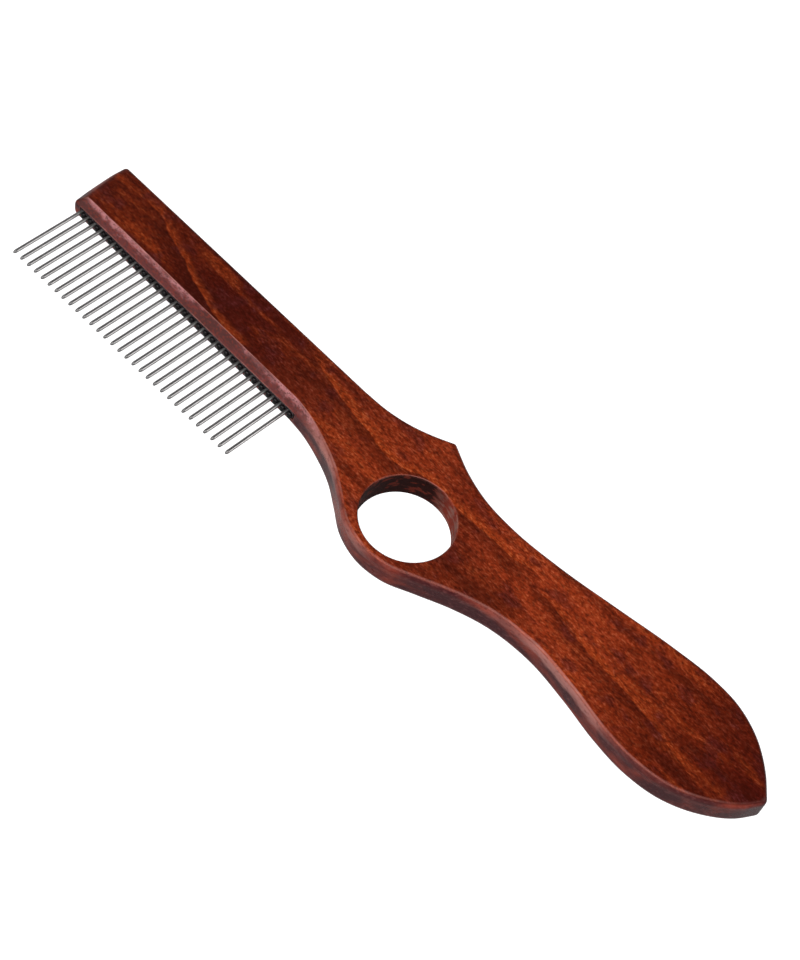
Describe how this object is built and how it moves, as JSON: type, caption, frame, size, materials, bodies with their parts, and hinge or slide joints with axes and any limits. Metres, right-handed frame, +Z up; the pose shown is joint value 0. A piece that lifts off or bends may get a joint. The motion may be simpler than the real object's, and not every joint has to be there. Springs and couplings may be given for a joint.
{
  "type": "rotating tooth comb",
  "caption": "Flat wooden comb with a leaf-shaped grip, a finger hole, a thumb point and a row of steel teeth that each spin in a black strip.",
  "frame": {"origin": "middle of the comb's length and width, on the surface that its under face rests on", "axes": "+X runs from the head to the tip of the grip, the teeth point to -Y, +Z is up out of the top face"},
  "size_m": [0.2227, 0.0479, 0.0076],
  "materials": {
    "stained_wood": "red-brown stained hardwood with a satin varnish",
    "black_plastic": "black, moulded, lightly glossy",
    "tooth_steel": "polished steel wire"
  },
  "bodies": {
    "comb_body": {"handle": "stained_wood", "tooth_strip": "black_plastic"},
    "tooth_01": {"tooth_01": "tooth_steel"},
    "tooth_02": {"tooth_02": "tooth_steel"},
    "tooth_03": {"tooth_03": "tooth_steel"},
    "tooth_04": {"tooth_04": "tooth_steel"},
    "tooth_05": {"tooth_05": "tooth_steel"},
    "tooth_06": {"tooth_06": "tooth_steel"},
    "tooth_07": {"tooth_07": "tooth_steel"},
    "tooth_08": {"tooth_08": "tooth_steel"},
    "tooth_09": {"tooth_09": "tooth_steel"},
    "tooth_10": {"tooth_10": "tooth_steel"},
    "tooth_11": {"tooth_11": "tooth_steel"},
    "tooth_12": {"tooth_12": "tooth_steel"},
    "tooth_13": {"tooth_13": "tooth_steel"},
    "tooth_14": {"tooth_14": "tooth_steel"},
    "tooth_15": {"tooth_15": "tooth_steel"},
    "tooth_16": {"tooth_16": "tooth_steel"},
    "tooth_17": {"tooth_17": "tooth_steel"},
    "tooth_18": {"tooth_18": "tooth_steel"},
    "tooth_19": {"tooth_19": "tooth_steel"},
    "tooth_20": {"tooth_20": "tooth_steel"},
    "tooth_21": {"tooth_21": "tooth_steel"},
    "tooth_22": {"tooth_22": "tooth_steel"},
    "tooth_23": {"tooth_23": "tooth_steel"},
    "tooth_24": {"tooth_24": "tooth_steel"},
    "tooth_25": {"tooth_25": "tooth_steel"},
    "tooth_26": {"tooth_26": "tooth_steel"},
    "tooth_27": {"tooth_27": "tooth_steel"},
    "tooth_28": {"tooth_28": "tooth_steel"},
    "tooth_29": {"tooth_29": "tooth_steel"},
    "tooth_30": {"tooth_30": "tooth_steel"},
    "tooth_31": {"tooth_31": "tooth_steel"}
  },
  "joints": [
    {"name": "tooth_01_spin", "type": "hinge", "parent": "comb_body", "child": "tooth_01", "pos_m": [-0.109, -0.00255, 0.0038], "axis": [0, -1, 0], "continuous": true},
    {"name": "tooth_02_spin", "type": "hinge", "parent": "comb_body", "child": "tooth_02", "pos_m": [-0.1065, -0.00255, 0.0038], "axis": [0, -1, 0], "continuous": true},
    {"name": "tooth_03_spin", "type": "hinge", "parent": "comb_body", "child": "tooth_03", "pos_m": [-0.104, -0.00255, 0.0038], "axis": [0, -1, 0], "continuous": true},
    {"name": "tooth_04_spin", "type": "hinge", "parent": "comb_body", "child": "tooth_04", "pos_m": [-0.1015, -0.00255, 0.0038], "axis": [0, -1, 0], "continuous": true},
    {"name": "tooth_05_spin", "type": "hinge", "parent": "comb_body", "child": "tooth_05", "pos_m": [-0.099, -0.00255, 0.0038], "axis": [0, -1, 0], "continuous": true},
    {"name": "tooth_06_spin", "type": "hinge", "parent": "comb_body", "child": "tooth_06", "pos_m": [-0.0965, -0.00255, 0.0038], "axis": [0, -1, 0], "continuous": true},
    {"name": "tooth_07_spin", "type": "hinge", "parent": "comb_body", "child": "tooth_07", "pos_m": [-0.094, -0.00255, 0.0038], "axis": [0, -1, 0], "continuous": true},
    {"name": "tooth_08_spin", "type": "hinge", "parent": "comb_body", "child": "tooth_08", "pos_m": [-0.0915, -0.00255, 0.0038], "axis": [0, -1, 0], "continuous": true},
    {"name": "tooth_09_spin", "type": "hinge", "parent": "comb_body", "child": "tooth_09", "pos_m": [-0.089, -0.00255, 0.0038], "axis": [0, -1, 0], "continuous": true},
    {"name": "tooth_10_spin", "type": "hinge", "parent": "comb_body", "child": "tooth_10", "pos_m": [-0.0865, -0.00255, 0.0038], "axis": [0, -1, 0], "continuous": true},
    {"name": "tooth_11_spin", "type": "hinge", "parent": "comb_body", "child": "tooth_11", "pos_m": [-0.084, -0.00255, 0.0038], "axis": [0, -1, 0], "continuous": true},
    {"name": "tooth_12_spin", "type": "hinge", "parent": "comb_body", "child": "tooth_12", "pos_m": [-0.0815, -0.00255, 0.0038], "axis": [0, -1, 0], "continuous": true},
    {"name": "tooth_13_spin", "type": "hinge", "parent": "comb_body", "child": "tooth_13", "pos_m": [-0.079, -0.00255, 0.0038], "axis": [0, -1, 0], "continuous": true},
    {"name": "tooth_14_spin", "type": "hinge", "parent": "comb_body", "child": "tooth_14", "pos_m": [-0.0765, -0.00255, 0.0038], "axis": [0, -1, 0], "continuous": true},
    {"name": "tooth_15_spin", "type": "hinge", "parent": "comb_body", "child": "tooth_15", "pos_m": [-0.074, -0.00255, 0.0038], "axis": [0, -1, 0], "continuous": true},
    {"name": "tooth_16_spin", "type": "hinge", "parent": "comb_body", "child": "tooth_16", "pos_m": [-0.0715, -0.00255, 0.0038], "axis": [0, -1, 0], "continuous": true},
    {"name": "tooth_17_spin", "type": "hinge", "parent": "comb_body", "child": "tooth_17", "pos_m": [-0.069, -0.00255, 0.0038], "axis": [0, -1, 0], "continuous": true},
    {"name": "tooth_18_spin", "type": "hinge", "parent": "comb_body", "child": "tooth_18", "pos_m": [-0.0665, -0.00255, 0.0038], "axis": [0, -1, 0], "continuous": true},
    {"name": "tooth_19_spin", "type": "hinge", "parent": "comb_body", "child": "tooth_19", "pos_m": [-0.064, -0.00255, 0.0038], "axis": [0, -1, 0], "continuous": true},
    {"name": "tooth_20_spin", "type": "hinge", "parent": "comb_body", "child": "tooth_20", "pos_m": [-0.0615, -0.00255, 0.0038], "axis": [0, -1, 0], "continuous": true},
    {"name": "tooth_21_spin", "type": "hinge", "parent": "comb_body", "child": "tooth_21", "pos_m": [-0.059, -0.00255, 0.0038], "axis": [0, -1, 0], "continuous": true},
    {"name": "tooth_22_spin", "type": "hinge", "parent": "comb_body", "child": "tooth_22", "pos_m": [-0.0565, -0.00255, 0.0038], "axis": [0, -1, 0], "continuous": true},
    {"name": "tooth_23_spin", "type": "hinge", "parent": "comb_body", "child": "tooth_23", "pos_m": [-0.054, -0.00255, 0.0038], "axis": [0, -1, 0], "continuous": true},
    {"name": "tooth_24_spin", "type": "hinge", "parent": "comb_body", "child": "tooth_24", "pos_m": [-0.0515, -0.00255, 0.0038], "axis": [0, -1, 0], "continuous": true},
    {"name": "tooth_25_spin", "type": "hinge", "parent": "comb_body", "child": "tooth_25", "pos_m": [-0.049, -0.00255, 0.0038], "axis": [0, -1, 0], "continuous": true},
    {"name": "tooth_26_spin", "type": "hinge", "parent": "comb_body", "child": "tooth_26", "pos_m": [-0.0465, -0.00255, 0.0038], "axis": [0, -1, 0], "continuous": true},
    {"name": "tooth_27_spin", "type": "hinge", "parent": "comb_body", "child": "tooth_27", "pos_m": [-0.044, -0.00255, 0.0038], "axis": [0, -1, 0], "continuous": true},
    {"name": "tooth_28_spin", "type": "hinge", "parent": "comb_body", "child": "tooth_28", "pos_m": [-0.0415, -0.00255, 0.0038], "axis": [0, -1, 0], "continuous": true},
    {"name": "tooth_29_spin", "type": "hinge", "parent": "comb_body", "child": "tooth_29", "pos_m": [-0.039, -0.00255, 0.0038], "axis": [0, -1, 0], "continuous": true},
    {"name": "tooth_30_spin", "type": "hinge", "parent": "comb_body", "child": "tooth_30", "pos_m": [-0.0365, -0.00255, 0.0038], "axis": [0, -1, 0], "continuous": true},
    {"name": "tooth_31_spin", "type": "hinge", "parent": "comb_body", "child": "tooth_31", "pos_m": [-0.034, -0.00255, 0.0038], "axis": [0, -1, 0], "continuous": true}
  ]
}
